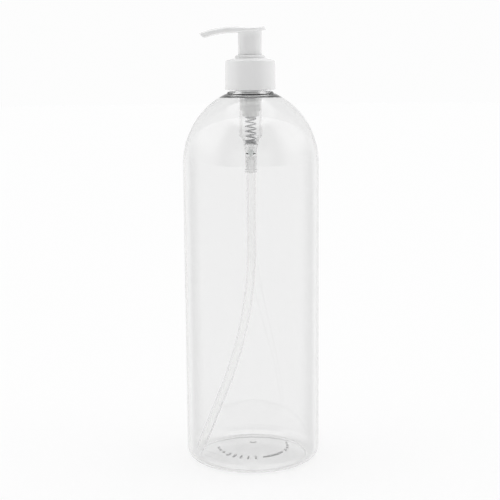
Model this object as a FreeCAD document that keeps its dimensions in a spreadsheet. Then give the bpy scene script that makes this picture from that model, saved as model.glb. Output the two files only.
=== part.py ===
"""Pump oil bottle: a clear one-litre bottle with a screw-on lotion pump.

Every piece is a PartDesign body of one document. All driving sizes stand in the sheet "Sizes", and the
sketches and features are bound to its cells. Millimetres, +Z up, origin at the centre of the base.
"""
import FreeCAD, Part
import math
import os

import Sketcher

DRIVING_SIZES = {
    # bottle
    "bottle_radius": 41.0,
    "wall": 0.9,
    "heel_radius": 6.7,
    "base_ring_width": 1.7,
    "base_step": 1.6,
    "push_up": 7.2,
    "push_up_dome_radius": 87.0,
    "gate_radius": 1.6,
    "gate_depth": 0.5,
    "shoulder_start": 182.6,
    "shoulder_radius": 46.9,
    "shoulder_end_radius": 15.0,
    "shoulder_end": 224.5,
    "bead_radius": 14.2,
    "bead_top": 225.8,
    "bead_chamfer": 0.9,
    "neck_radius": 12.45,
    "neck_bore": 10.8,
    "neck_top": 239.9,
    # thread of neck and closure
    "pitch": 4.233,
    "thread_start": 230.6,
    "neck_thread_turns": 1.5,
    "neck_thread_crest": 13.6,
    "closure_thread_turns": 1.25,
    "closure_thread_crest": 12.95,
    "thread_root_width": 2.0,
    "thread_crest_width": 1.0,
    "thread_sink": 0.3,
    # plain raised marks under the base
    "mark_ring_radius": 21.5,
    "mark_bottom": 4.15,
    "mark_height": 0.85,
    "pip_radius": 0.8,
    "bar_length": 3.4,
    "bar_width": 1.0,
    "rib_inner_radius": 20.4,
    "rib_outer_radius": 22.8,
    # closure
    "closure_bottom": 226.8,
    "closure_bottom_radius": 15.15,
    "closure_top_radius": 14.85,
    "closure_shoulder": 243.2,
    "closure_shoulder_radius": 14.1,
    "closure_edge": 244.2,
    "closure_top": 245.4,
    "closure_bore": 13.95,
    "closure_hole": 9.5,
    "closure_round": 1.0,
    "cap_gap": 0.1,
    # stack under the closure
    "seal_gap": 0.05,
    "gasket_thickness": 1.0,
    "gasket_radius": 13.1,
    "gasket_bore": 9.75,
    "flange_thickness": 1.05,
    "flange_radius": 13.2,
    # chamber
    "cup_radius": 9.6,
    "cup_bore": 8.6,
    "cup_floor": 226.6,
    "chamber_radius": 6.85,
    "chamber_bore": 6.0,
    "cup_bottom": 225.6,
    "barrel_bottom": 199.4,
    "taper_bottom": 196.8,
    "taper_radius": 4.9,
    "taper_bore": 4.2,
    "cone_bottom": 190.4,
    "socket_radius": 3.45,
    "spring_seat": 194.2,
    "spring_pocket_radius": 3.85,
    "ball_stop_radius": 2.0,
    "ball_stop": 192.3,
    "ball_cage_radius": 2.55,
    "valve_seat": 188.0,
    "valve_seat_height": 1.1,
    "valve_hole_radius": 1.7,
    "tube_stop": 186.9,
    "rim_top": 179.1,
    "rim_radius": 3.75,
    "socket_bottom": 177.3,
    # ball and spring
    "ball_radius": 2.15,
    "ball_height": 189.37,
    "spring_radius": 3.45,
    "spring_wire": 0.7,
    "spring_turns": 6.5,
    # dip tube
    "tube_radius": 2.7,
    "tube_fit": 0.02,
    "tube_bore": 1.95,
    "tube_bend_start": 134.0,
    "tube_bend_radius": 247.0,
    "tube_bend_angle": 22.0,
    "tube_foot": 4.0,
    # locking collar
    "collar_radius": 9.15,
    "collar_bore": 7.6,
    "collar_top": 247.3,
    "collar_chamfer": 0.4,
    "collar_sleeve_radius": 8.55,
    "collar_floor_top": 227.8,
    "collar_floor": 226.65,
    "guide_radius": 5.95,
    "guide_bore": 3.9,
    "guide_bottom": 222.8,
    # stem, seat and piston
    "stem_radius": 3.6,
    "stem_bore": 2.3,
    "stem_top": 259.6,
    "port_radius": 0.8,
    "port_height": 218.2,
    "seat_radius": 4.98,
    "seat_top": 214.3,
    "seat_bottom": 211.0,
    "seat_plug_top": 216.6,
    "plug_fit": 0.02,
    "seat_boss_radius": 2.4,
    "seat_boss_bottom": 209.2,
    "piston_radius": 5.96,
    "piston_waist": 5.3,
    "piston_bore": 3.65,
    "piston_relief": 4.4,
    "piston_bottom": 214.35,
    "lip_height": 1.5,
    "relief_margin": 0.4,
    "piston_top": 221.5,
    # actuator
    "skirt_radius": 7.3,
    "skirt_bore": 6.3,
    "skirt_bottom": 241.0,
    "socket_wall_radius": 4.7,
    "socket_bore": 3.63,
    "socket_foot": 246.0,
    "head_half_width": 10.5,
    "pad_radius": 9.8,
    "head_back": 9.4,
    "back_lean": 0.8,
    "head_top": 264.1,
    "dish_radius": 46.5,
    "dish_front": 6.5,
    "crest_drop": 0.2,
    "crest_radius": 20.0,
    "crest_end": 13.0,
    "crest_end_height": 264.0,
    "spout_top_radius": 54.0,
    "head_under": 260.4,
    "under_radius": 62.0,
    "back_under": 261.8,
    "tip_reach": 30.3,
    "tip_top": 260.2,
    "tip_under_reach": 27.5,
    "tip_bottom": 257.4,
    "tip_half_width": 3.8,
    "arch_centre": 8.0,
    "channel_radius": 1.0,
    "channel_height": 261.95,
    "channel_bend": 64.0,
    "channel_end": 31.5,
    "channel_end_height": 257.7,
    # how far a cutting outline stands clear of what it cuts
    "cut_margin": 1.0,
}


class Size:
    """A length that knows both its number and the sheet expression that drives it."""

    def __init__(self, text, value):
        self.text = text
        self.value = value

    def joined(self, other, sign, value):
        return Size(f"({self.text} {sign} {as_size(other).text})", value)

    def __add__(self, other):
        return self.joined(other, "+", self.value + as_size(other).value)

    def __sub__(self, other):
        return self.joined(other, "-", self.value - as_size(other).value)

    def __mul__(self, other):
        return self.joined(other, "*", self.value * as_size(other).value)

    def __truediv__(self, other):
        return self.joined(other, "/", self.value / as_size(other).value)


def as_size(number):
    """A plain number as a Size; a Size stays as it is."""
    return number if isinstance(number, Size) else Size(str(number), float(number))


class Sizes:
    """The sheet of driving sizes, read as attributes such as size.wall."""

    def __init__(self, document, values):
        sheet = document.addObject("Spreadsheet::Sheet", "Sizes")
        for row, (alias, value) in enumerate(values.items(), start=1):
            sheet.set(f"A{row}", alias)
            sheet.set(f"B{row}", str(value))
            sheet.setAlias(f"B{row}", alias)
            setattr(self, alias, Size(f"Sizes.{alias}", value))


document = FreeCAD.newDocument("pump_bottle")
size = Sizes(document, DRIVING_SIZES)
document.recompute()

FULL_TURN = 360
QUARTER_TURN = 90
# directions seen from above, in degrees from +X
PAD_TANGENT = 105
PIP_DIRECTIONS = (188, 200, 212, 338, 350, 2, 14)
BAR_DIRECTIONS = (226, 238, 250, 262, 274)
RIB_START = 290
RIB_END = 326
# decimals kept of a sine or cosine
PLACES = 6
SKETCH_ORIGIN = -1
UPRIGHT_AXIS = -2
START = 1
END = 2
CENTRE = 3


def new_body(label):
    """An empty body, named for its piece."""
    body = document.addObject("PartDesign::Body", label)
    body.Label = label
    return body


def new_sketch(body, name, plane="XZ_Plane"):
    """A sketch on one of the body's own origin planes."""
    sketch = body.newObject("Sketcher::SketchObject", name)
    planes = [feature for feature in body.Origin.OriginFeatures if feature.Role == plane]
    sketch.AttachmentSupport = [(planes[0], "")]
    sketch.MapMode = "FlatFace"
    return sketch


def lift(sketch, height):
    """Move a sketch along its own normal."""
    sketch.setExpression(".AttachmentOffset.Base.z", height.text)


def bind(sketch, kind, *arguments, to):
    """Add a constraint whose value is the size it is given."""
    index = sketch.addConstraint(Sketcher.Constraint(kind, *arguments, to.value))
    sketch.setExpression(f"Constraints[{index}]", to.text)


def place_point(sketch, edge, point, across, up):
    """Hold a point of an edge at (across, up) from the sketch's origin."""
    for kind, distance, axis in (("DistanceX", across, UPRIGHT_AXIS), ("DistanceY", up, SKETCH_ORIGIN)):
        if distance.value == 0:
            sketch.addConstraint(Sketcher.Constraint("PointOnObject", edge, point, axis))
        elif distance.value > 0:
            bind(sketch, kind, SKETCH_ORIGIN, START, edge, point, to=distance)
        else:
            bind(sketch, kind, edge, point, SKETCH_ORIGIN, START, to=distance * -1)


def arc(radius, side):
    """A round stretch of an outline: its radius, and +1 where it turns left or -1 where it turns right."""
    return radius, side


def arc_edge(start, end, radius, side):
    """The short arc of that radius from start to end."""
    chord = end - start
    middle = (start + end) / 2
    left = FreeCAD.Vector(-chord.y, chord.x, 0).normalize()
    rise = (radius ** 2 - (chord.Length / 2) ** 2) ** 0.5
    centre = middle + left * (rise * side)
    return Part.Arc(start, centre - left * (radius * side), end)


def draw_edge(sketch, corner, following):
    """Draw one stretch, and return its index with the ends that lie at its start and at its end."""
    start = FreeCAD.Vector(corner[0].value, corner[1].value, 0)
    end = FreeCAD.Vector(following[0].value, following[1].value, 0)
    if len(corner) == 2:
        return sketch.addGeometry(Part.LineSegment(start, end), False), START, END
    radius, side = corner[2]
    index = sketch.addGeometry(arc_edge(start, end, radius.value, side), False)
    bind(sketch, "Radius", index, to=radius)
    return (index, START, END) if side > 0 else (index, END, START)


def outline(sketch, corners, closed=True):
    """Draw an outline. A corner is (across, up), or (across, up, arc) where a round stretch starts."""
    corners = [(as_size(corner[0]), as_size(corner[1])) + tuple(corner[2:]) for corner in corners]
    following = corners[1:] + corners[:1] if closed else corners[1:]
    edges = [draw_edge(sketch, corner, after) for corner, after in zip(corners, following)]
    for corner, (edge, start, end) in zip(corners, edges):
        place_point(sketch, edge, start, corner[0], corner[1])
    joins = list(zip(edges, edges[1:] + edges[:1] if closed else edges[1:]))
    for (edge, start, end), (after, after_start, after_end) in joins:
        sketch.addConstraint(Sketcher.Constraint("Coincident", edge, end, after, after_start))
    if not closed:
        edge, start, end = edges[-1]
        place_point(sketch, edge, end, corners[-1][0], corners[-1][1])


def circle(sketch, radius, across=0, up=0):
    """Draw a circle about (across, up)."""
    across = as_size(across)
    up = as_size(up)
    centre = FreeCAD.Vector(across.value, up.value, 0)
    edge = sketch.addGeometry(Part.Circle(centre, FreeCAD.Vector(0, 0, 1), radius.value), False)
    bind(sketch, "Radius", edge, to=radius)
    place_point(sketch, edge, CENTRE, across, up)


def revolve(body, name, corners, kind="PartDesign::Revolution"):
    """Turn a closed outline in the XZ plane a full turn about Z."""
    sketch = new_sketch(body, f"{name}_outline")
    outline(sketch, corners)
    feature = body.newObject(kind, name)
    feature.Profile = sketch
    feature.ReferenceAxis = (sketch, ["V_Axis"])
    feature.Angle = FULL_TURN
    document.recompute()
    return feature


def pad(body, name, sketch, length, both_ways=False, kind="PartDesign::Pad"):
    """Give a sketch its thickness."""
    feature = body.newObject(kind, name)
    feature.Profile = sketch
    feature.setExpression("Length", length.text)
    feature.Midplane = both_ways
    document.recompute()
    return feature


def must_shrink(feature, before):
    """Stop if a cut took nothing away."""
    if feature.Shape.Volume >= before:
        raise RuntimeError(f"{feature.Label} cuts nothing")


def sweep(body, name, profile, spine, kind="PartDesign::AdditivePipe"):
    """Draw a profile along a spine."""
    feature = body.newObject(kind, name)
    feature.Profile = profile
    feature.Spine = (spine, [])
    document.recompute()
    return feature


def helix(body, name, sketch, pitch, turns):
    """Wind a sketch about Z as a right-hand helix."""
    feature = body.newObject("PartDesign::AdditiveHelix", name)
    feature.Profile = sketch
    feature.ReferenceAxis = (sketch, ["V_Axis"])
    feature.Mode = "pitch-turns-angle"
    feature.setExpression("Pitch", pitch.text)
    feature.setExpression("Turns", turns.text)
    feature.LeftHanded = False
    document.recompute()
    return feature


def thread(body, name, root, crest, start, turns):
    """A helical ridge between a root radius, sunk a little into the wall, and a crest radius."""
    sketch = new_sketch(body, f"{name}_outline")
    half_root = size.thread_root_width / 2
    half_crest = size.thread_crest_width / 2
    outline(sketch, [(root, start - half_root), (crest, start - half_crest),
                     (crest, start + half_crest), (root, start + half_root)])
    return helix(body, name, sketch, size.pitch, turns)


def on_circle(radius, degrees):
    """Where a radius meets a direction, as (across, up)."""
    turn = math.radians(degrees)
    return radius * round(math.cos(turn), PLACES), radius * round(math.sin(turn), PLACES)


def make_bottle():
    """Blown bottle: pushed-up base, round heel, straight wall, domed shoulder, neck bead and thread."""
    body = new_body("bottle")
    wall = size.wall
    ring_outer = size.bottle_radius - size.heel_radius
    ring_inner = ring_outer - size.base_ring_width
    step = ring_inner - size.base_step
    gate = size.push_up - size.gate_depth
    revolve(body, "shell", [
        (0, gate),
        (size.gate_radius, gate),
        (size.gate_radius, size.push_up, arc(size.push_up_dome_radius, -1)),
        (step, size.base_step),
        (ring_inner, 0),
        (ring_outer, 0, arc(size.heel_radius, 1)),
        (size.bottle_radius, size.heel_radius),
        (size.bottle_radius, size.shoulder_start, arc(size.shoulder_radius, 1)),
        (size.shoulder_end_radius, size.shoulder_end),
        (size.bead_radius, size.shoulder_end),
        (size.bead_radius, size.bead_top - size.bead_chamfer),
        (size.bead_radius - size.bead_chamfer, size.bead_top),
        (size.neck_radius, size.bead_top),
        (size.neck_radius, size.neck_top),
        (size.neck_bore, size.neck_top),
        (size.neck_bore, size.shoulder_end),
        (size.shoulder_end_radius - wall, size.shoulder_end - wall, arc(size.shoulder_radius - wall, -1)),
        (size.bottle_radius - wall, size.shoulder_start),
        (size.bottle_radius - wall, size.heel_radius, arc(size.heel_radius - wall, -1)),
        (ring_outer, wall),
        (ring_inner + wall / 2, wall),
        (step + wall / 2, size.base_step + wall, arc(size.push_up_dome_radius + wall, 1)),
        (size.gate_radius, size.push_up + wall),
        (0, size.push_up + wall),
    ])
    thread(body, "neck_thread", size.neck_radius - size.thread_sink, size.neck_thread_crest,
           size.thread_start, size.neck_thread_turns)
    add_base_marks(body)
    return body


def add_base_marks(body):
    """Plain pips, bars and a rib under the base, where a maker would put moulding marks."""
    sketch = new_sketch(body, "marks_outline", "XY_Plane")
    lift(sketch, size.mark_bottom)
    for degrees in PIP_DIRECTIONS:
        circle(sketch, size.pip_radius, *on_circle(size.mark_ring_radius, degrees))
    for degrees in BAR_DIRECTIONS:
        outline(sketch, radial_bar(degrees))
    outline(sketch, [
        on_circle(size.rib_inner_radius, RIB_END) + (arc(size.rib_inner_radius, -1),),
        on_circle(size.rib_inner_radius, RIB_START),
        on_circle(size.rib_outer_radius, RIB_START) + (arc(size.rib_outer_radius, 1),),
        on_circle(size.rib_outer_radius, RIB_END),
    ])
    pad(body, "marks", sketch, size.mark_height)


def radial_bar(degrees):
    """Corners of a small bar that points at the centre of the base."""
    along = on_circle(size.bar_length / 2, degrees)
    beside = on_circle(size.bar_width / 2, degrees + QUARTER_TURN)
    middle = on_circle(size.mark_ring_radius, degrees)
    signs = ((1, -1), (1, 1), (-1, 1), (-1, -1))
    return [tuple(middle[axis] + along[axis] * far + beside[axis] * wide for axis in (0, 1))
            for far, wide in signs]


def make_closure():
    """Smooth screw cap with a hole for the pump, threaded inside."""
    body = new_body("closure")
    underside = flange_top() + size.cap_gap
    revolve(body, "cap", [
        (size.closure_bore, size.closure_bottom),
        (size.closure_bottom_radius, size.closure_bottom),
        (size.closure_top_radius, size.closure_shoulder, arc(size.closure_round, 1)),
        (size.closure_shoulder_radius, size.closure_edge),
        (size.closure_hole, size.closure_top),
        (size.closure_hole, underside),
        (size.closure_bore, underside),
    ])
    thread(body, "cap_thread", size.closure_bore + size.thread_sink, size.closure_thread_crest,
           size.thread_start - size.pitch / 2, size.closure_thread_turns)
    return body


def flange_bottom():
    """Underside of the chamber's flange, which lies on the gasket."""
    return size.neck_top + size.seal_gap + size.gasket_thickness


def flange_top():
    """Top of the chamber's flange."""
    return flange_bottom() + size.flange_thickness


def make_gasket():
    """Flat ring that seals the chamber's flange on the neck."""
    body = new_body("neck_gasket")
    bottom = size.neck_top + size.seal_gap
    revolve(body, "ring", [
        (size.gasket_bore, bottom),
        (size.gasket_radius, bottom),
        (size.gasket_radius, flange_bottom()),
        (size.gasket_bore, flange_bottom()),
    ])
    return body


def make_chamber():
    """Clear pump barrel: flange, wide cup in the neck, barrel, spring pocket, ball cage, tube socket."""
    body = new_body("pump_chamber")
    revolve(body, "barrel", [
        (size.tube_radius + size.tube_fit, size.socket_bottom),
        (size.rim_radius, size.socket_bottom),
        (size.rim_radius, size.rim_top),
        (size.socket_radius, size.rim_top),
        (size.socket_radius, size.cone_bottom),
        (size.taper_radius, size.taper_bottom),
        (size.chamber_radius, size.barrel_bottom),
        (size.chamber_radius, size.cup_bottom),
        (size.cup_radius, size.cup_bottom),
        (size.cup_radius, flange_bottom()),
        (size.flange_radius, flange_bottom()),
        (size.flange_radius, flange_top()),
        (size.cup_bore, flange_top()),
        (size.cup_bore, size.cup_floor),
        (size.chamber_bore, size.cup_floor),
        (size.chamber_bore, size.barrel_bottom),
        (size.taper_bore, size.taper_bottom),
        (size.spring_pocket_radius, size.spring_seat),
        (size.ball_stop_radius, size.spring_seat),
        (size.ball_stop_radius, size.ball_stop),
        (size.ball_cage_radius, size.ball_stop),
        (size.ball_cage_radius, size.valve_seat + size.valve_seat_height),
        (size.valve_hole_radius, size.valve_seat),
        (size.valve_hole_radius, size.tube_stop),
        (size.tube_radius + size.tube_fit, size.tube_stop),
    ])
    return body


def make_inlet_ball():
    """Glass ball of the foot valve."""
    ball = document.addObject("Part::Sphere", "inlet_ball")
    ball.Label = "inlet_ball"
    ball.setExpression("Radius", size.ball_radius.text)
    ball.setExpression(".Placement.Base.z", size.ball_height.text)
    return ball


def make_dip_tube():
    """Stiff tube, straight in its socket and bent once, gently, towards the heel of the bottle."""
    body = new_body("dip_tube")
    top = size.tube_stop - size.seal_gap
    bend = math.radians(DRIVING_SIZES["tube_bend_angle"])
    drop = size.tube_bend_radius * round(math.sin(bend), PLACES)
    aside = size.tube_bend_radius * round(math.cos(bend) - 1, PLACES)
    bend_end = size.tube_bend_start - drop
    foot_across = aside - (bend_end - size.tube_foot) * round(math.tan(bend), PLACES)
    spine = new_sketch(body, "route")
    outline(spine, [
        (0, top),
        (0, size.tube_bend_start, arc(size.tube_bend_radius, -1)),
        (aside, bend_end),
        (foot_across, size.tube_foot),
    ], closed=False)
    section = new_sketch(body, "section", "XY_Plane")
    lift(section, top)
    circle(section, size.tube_radius)
    circle(section, size.tube_bore)
    sweep(body, "tube", section, spine)
    return body


def make_spring():
    """Compression spring between the barrel's pocket and the piston seat."""
    body = new_body("return_spring")
    half_wire = size.spring_wire / 2
    section = new_sketch(body, "wire_section")
    circle(section, half_wire, size.spring_radius - half_wire, size.spring_seat + half_wire)
    pitch = (size.seat_bottom - size.spring_seat - size.spring_wire) / size.spring_turns
    helix(body, "coil", section, pitch, size.spring_turns)
    return body


def make_collar():
    """Locking collar: ring on top of the closure, sleeve in the cup, guide for the stem."""
    body = new_body("locking_collar")
    shoulder = flange_top() + size.seal_gap
    revolve(body, "sleeve", [
        (size.guide_bore, size.guide_bottom),
        (size.guide_radius, size.guide_bottom),
        (size.guide_radius, size.collar_floor),
        (size.collar_sleeve_radius, size.collar_floor),
        (size.collar_sleeve_radius, shoulder),
        (size.collar_radius, shoulder),
        (size.collar_radius, size.collar_top - size.collar_chamfer),
        (size.collar_radius - size.collar_chamfer, size.collar_top),
        (size.collar_bore, size.collar_top),
        (size.collar_bore, size.collar_floor_top),
        (size.guide_bore, size.collar_floor_top),
    ])
    return body


def make_stem():
    """Hollow stem with four ports near its foot, which the piston covers."""
    body = new_body("stem")
    revolve(body, "pipe", [
        (size.stem_bore, size.seat_top),
        (size.stem_radius, size.seat_top),
        (size.stem_radius, size.stem_top),
        (size.stem_bore, size.stem_top),
    ])
    cut_length = (size.stem_radius + size.cut_margin) * 2
    for plane in ("XZ_Plane", "YZ_Plane"):
        before = body.Shape.Volume
        sketch = new_sketch(body, f"port_{plane[:2]}", plane)
        circle(sketch, size.port_radius, 0, size.port_height)
        ports = pad(body, f"ports_{plane[:2]}", sketch, cut_length, True, "PartDesign::Pocket")
        must_shrink(ports, before)
    return body


def make_piston_seat():
    """Plug of the stem's foot: closes the piston's underside and takes the spring."""
    body = new_body("piston_seat")
    plug_radius = size.stem_bore - size.plug_fit
    revolve(body, "plug", [
        (0, size.seat_boss_bottom),
        (size.seat_boss_radius, size.seat_boss_bottom),
        (size.seat_boss_radius, size.seat_bottom),
        (size.seat_radius, size.seat_bottom),
        (size.seat_radius, size.seat_top),
        (plug_radius, size.seat_top),
        (plug_radius, size.seat_plug_top),
        (0, size.seat_plug_top),
    ])
    return body


def make_piston():
    """Piston with a lip at each end that wipes the barrel; it slides a little on the stem."""
    body = new_body("piston")
    waist_bottom = size.piston_bottom + size.lip_height
    waist_top = size.piston_top - size.lip_height
    slope = size.piston_radius - size.piston_waist
    relief_top = size.port_height + size.port_radius + size.relief_margin
    revolve(body, "wiper", [
        (size.piston_relief, size.piston_bottom),
        (size.piston_radius, size.piston_bottom),
        (size.piston_radius, waist_bottom),
        (size.piston_waist, waist_bottom + slope),
        (size.piston_waist, waist_top - slope),
        (size.piston_radius, waist_top),
        (size.piston_radius, size.piston_top),
        (size.piston_bore, size.piston_top),
        (size.piston_bore, relief_top),
        (size.piston_relief, relief_top),
    ])
    return body


def make_actuator():
    """Press head: saddle plate drawn out into a drooping spout, on a skirt with a socket for the stem."""
    body = new_body("actuator")
    side = new_sketch(body, "side_outline")
    outline(side, [
        (size.tip_under_reach * -1, size.tip_bottom, arc(size.under_radius, -1)),
        (size.arch_centre * -1, size.head_under),
        (size.head_back, size.back_under),
        (size.head_back - size.back_lean, size.head_top, arc(size.dish_radius, -1)),
        (size.dish_front * -1, size.head_top - size.crest_drop, arc(size.crest_radius, 1)),
        (size.crest_end * -1, size.crest_end_height, arc(size.spout_top_radius, 1)),
        (size.tip_reach * -1, size.tip_top),
    ])
    pad(body, "plate", side, size.head_half_width * 2, both_ways=True)
    trim_plan(body)
    skirt = new_sketch(body, "skirt_outline", "XY_Plane")
    lift(skirt, size.skirt_bottom)
    circle(skirt, size.skirt_radius)
    pad(body, "skirt", skirt, size.back_under - size.skirt_bottom)
    before = body.Shape.Volume
    hollow_top = size.channel_height + size.channel_radius / 2
    hollow = revolve(body, "hollow", [
        (0, size.skirt_bottom),
        (size.skirt_bore, size.skirt_bottom),
        (size.skirt_bore, size.stem_top),
        (size.socket_wall_radius, size.stem_top),
        (size.socket_wall_radius, size.socket_foot),
        (size.socket_bore, size.socket_foot),
        (size.socket_bore, size.stem_top),
        (size.stem_bore, size.stem_top),
        (size.stem_bore, hollow_top),
        (0, hollow_top),
    ], "PartDesign::Groove")
    must_shrink(hollow, before)
    bore_spout(body)
    return body


def trim_plan(body):
    """Cut the plate to its plan: a round pad about the stem that narrows towards the tip."""
    before = body.Shape.Volume
    plan = new_sketch(body, "plan_outline", "XY_Plane")
    lift(plan, size.tip_bottom - size.cut_margin)
    beyond = size.tip_reach + size.cut_margin
    rim = beyond + size.head_half_width
    outline(plan, [(rim * -1, rim * -1), (rim, rim * -1), (rim, rim), (rim * -1, rim)])
    side = on_circle(size.pad_radius, PAD_TANGENT)
    outline(plan, [
        (beyond * -1, size.tip_half_width * -1),
        (side[0], side[1] * -1, arc(size.pad_radius, 1)),
        (size.pad_radius, 0, arc(size.pad_radius, 1)),
        side,
        (beyond * -1, size.tip_half_width),
    ])
    trim = body.newObject("PartDesign::Pocket", "plan")
    trim.Profile = plan
    trim.Type = "ThroughAll"
    trim.Reversed = True
    document.recompute()
    must_shrink(trim, before)


def bore_spout(body):
    """The channel from the stem's socket to the tip, level at first and then following the droop."""
    before = body.Shape.Volume
    section = new_sketch(body, "channel_section", "YZ_Plane")
    circle(section, size.channel_radius, 0, size.channel_height)
    spine = new_sketch(body, "channel_route")
    outline(spine, [
        (0, size.channel_height),
        (size.arch_centre * -1, size.channel_height, arc(size.channel_bend, 1)),
        (size.channel_end * -1, size.channel_end_height),
    ], closed=False)
    channel = sweep(body, "channel", section, spine, "PartDesign::SubtractivePipe")
    must_shrink(channel, before)


def check_and_write(pieces):
    """Stop on any failed object or bad shape, then write one STEP file for each piece."""
    document.recompute()
    failed = [item.Name for item in document.Objects if {"Invalid", "Error"} & set(item.State)]
    if failed:
        raise RuntimeError(f"failed objects: {failed}")
    for piece in pieces:
        if piece.Shape.isNull() or not piece.Shape.isValid() or len(piece.Shape.Solids) != 1:
            raise RuntimeError(f"{piece.Label} is not one sound solid")
    os.makedirs("parts", exist_ok=True)
    for piece in pieces:
        piece.Shape.exportStep(f"parts/{piece.Label}.step")
        print(f"{piece.Label}: {piece.Shape.Volume:.1f} cubic mm")


check_and_write([
    make_bottle(),
    make_closure(),
    make_gasket(),
    make_chamber(),
    make_collar(),
    make_dip_tube(),
    make_inlet_ball(),
    make_spring(),
    make_piston_seat(),
    make_piston(),
    make_stem(),
    make_actuator(),
])
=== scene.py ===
"""Pump oil bottle: the finished pieces and their stage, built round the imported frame.

The file is laid out as an add-on. Each piece or group of like pieces has its own operator, and the sizes and
colours that a user would change stand in property groups. Everything is in metres, +Z up.
"""

import math

import bmesh
import bpy
from bpy.props import FloatProperty, FloatVectorProperty, IntProperty, PointerProperty
from mathutils import Matrix, Vector


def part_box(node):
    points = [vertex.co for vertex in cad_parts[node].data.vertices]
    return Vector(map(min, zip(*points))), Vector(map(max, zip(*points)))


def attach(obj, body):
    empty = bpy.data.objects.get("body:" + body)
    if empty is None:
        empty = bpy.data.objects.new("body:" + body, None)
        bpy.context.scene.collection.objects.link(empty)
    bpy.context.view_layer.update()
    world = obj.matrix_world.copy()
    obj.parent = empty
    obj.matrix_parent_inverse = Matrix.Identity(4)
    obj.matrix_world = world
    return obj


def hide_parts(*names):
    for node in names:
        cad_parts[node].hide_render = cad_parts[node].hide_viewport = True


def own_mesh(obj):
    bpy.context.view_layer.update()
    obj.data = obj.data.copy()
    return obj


bl_info = {
    "name": "Pump Bottle",
    "version": (1, 0, 0),
    "blender": (4, 5, 0),
    "location": "View3D > Sidebar > Pump Bottle",
    "description": "Builds a clear pump bottle with its lotion pump, and a pale stage",
    "category": "Add Mesh",
}

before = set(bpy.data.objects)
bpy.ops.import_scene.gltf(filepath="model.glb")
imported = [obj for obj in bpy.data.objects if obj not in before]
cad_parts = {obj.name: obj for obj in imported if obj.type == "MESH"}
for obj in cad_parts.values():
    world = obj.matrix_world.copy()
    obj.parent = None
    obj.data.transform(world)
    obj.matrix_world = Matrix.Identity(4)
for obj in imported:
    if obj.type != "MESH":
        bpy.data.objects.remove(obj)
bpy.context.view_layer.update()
UP = Vector((0, 0, 1))
FULL_TURN = 2 * math.pi


def low(node):
    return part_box(node)[0]


def high(node):
    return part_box(node)[1]


def length(name, description, default):
    """A length property in metres."""
    return FloatProperty(name=name, description=description, default=default, min=0, unit="LENGTH",
                         precision=5)


def share(name, description, default):
    """A property from 0 to 1."""
    return FloatProperty(name=name, description=description, default=default, min=0, max=1,
                         subtype="FACTOR")


def strength(name, description, default):
    """The strength of a light."""
    return FloatProperty(name=name, description=description, default=default, min=0)


def colour(name, description, default):
    """A colour property."""
    return FloatVectorProperty(name=name, description=description, default=default, min=0, max=1,
                               subtype="COLOR")


# ------------------------------------------------------------------------------------------ properties


class BottleSizes(bpy.types.PropertyGroup):
    """Sizes of the blown bottle."""

    wall: length("Wall", "Thickness of the blown wall", 0.0009)
    heel_radius: length("Heel radius", "Round between the wall and the standing ring", 0.0067)
    ring_width: length("Ring width", "Width of the flat ring the bottle stands on", 0.0017)
    step: length("Step", "Rise from the standing ring to the pushed-up floor", 0.0016)
    push_up: length("Push-up", "Height of the floor at its centre", 0.0072)
    gate_radius: length("Gate radius", "Radius of the moulding gate at the centre", 0.0016)
    gate_depth: length("Gate depth", "Depth of the moulding gate", 0.0005)
    shoulder_start: length("Shoulder start", "Height where the wall turns into the shoulder", 0.1826)
    shoulder_end: length("Shoulder end", "Height where the shoulder meets the bead", 0.2245)
    shoulder_end_radius: length("Shoulder end radius", "Radius of the shoulder at the bead", 0.0150)
    bead_radius: length("Bead radius", "Radius of the bead under the closure", 0.0142)
    bead_top: length("Bead top", "Height of the top of the bead", 0.2258)
    neck_radius: length("Neck radius", "Outer radius of the neck", 0.01245)
    neck_bore: length("Neck bore", "Inner radius of the neck", 0.0108)
    thread_start: length("Thread start", "Height where the neck thread starts", 0.2306)
    pitch: length("Pitch", "Rise of the thread in one turn", 0.004233)
    mark_radius: length("Mark radius", "Radius of the ring of moulded marks", 0.0215)
    segments: IntProperty(name="Segments", description="Faces round the bottle", default=160, min=24)


class PumpSizes(bpy.types.PropertyGroup):
    """Sizes of the pump's visible pieces."""

    closure_wall: length("Closure wall", "Thickness of the closure's skirt", 0.0012)
    closure_flare: length("Closure flare", "How much wider the closure is at its foot", 0.0003)
    collar_bore: length("Collar bore", "Inner radius of the locking collar", 0.0076)
    skirt_radius: length("Skirt radius", "Outer radius of the head's skirt", 0.0071)
    pad_radius: length("Pad radius", "Plan radius of the head about the stem", 0.0098)
    tip_half_width: length("Tip half width", "Half the width of the spout at its tip", 0.0038)
    orifice_radius: length("Orifice radius", "Radius of the spout's channel", 0.0010)
    spring_wire: length("Spring wire", "Diameter of the spring's wire", 0.0007)
    segments: IntProperty(name="Segments", description="Faces round a turned piece", default=96, min=24)


class Finishes(bpy.types.PropertyGroup):
    """Colours and shares that the materials are made from."""

    white: colour("White", "Moulded pump plastic", (0.66, 0.66, 0.66))
    inner_white: colour("Inner white", "Plastic of the pieces inside the pump", (0.74, 0.74, 0.73))
    clear_tint: colour("Clear tint", "What one face of the bottle's wall lets through", (0.935, 0.935, 0.935))
    barrel_tint: colour("Barrel tint", "What one face of the barrel's wall lets through", (0.97, 0.97, 0.97))
    tube_tint: colour("Tube tint", "What one face of the dip tube lets through", (0.999, 0.999, 0.997))
    frosted: colour("Frosted", "Moulded marks under the base", (0.78, 0.78, 0.78))
    steel: colour("Steel", "Spring wire", (0.60, 0.60, 0.61))
    foam: colour("Foam", "Neck gasket", (0.78, 0.78, 0.77))
    gloss: share("Gloss", "Roughness of the white plastic", 0.32)


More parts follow.
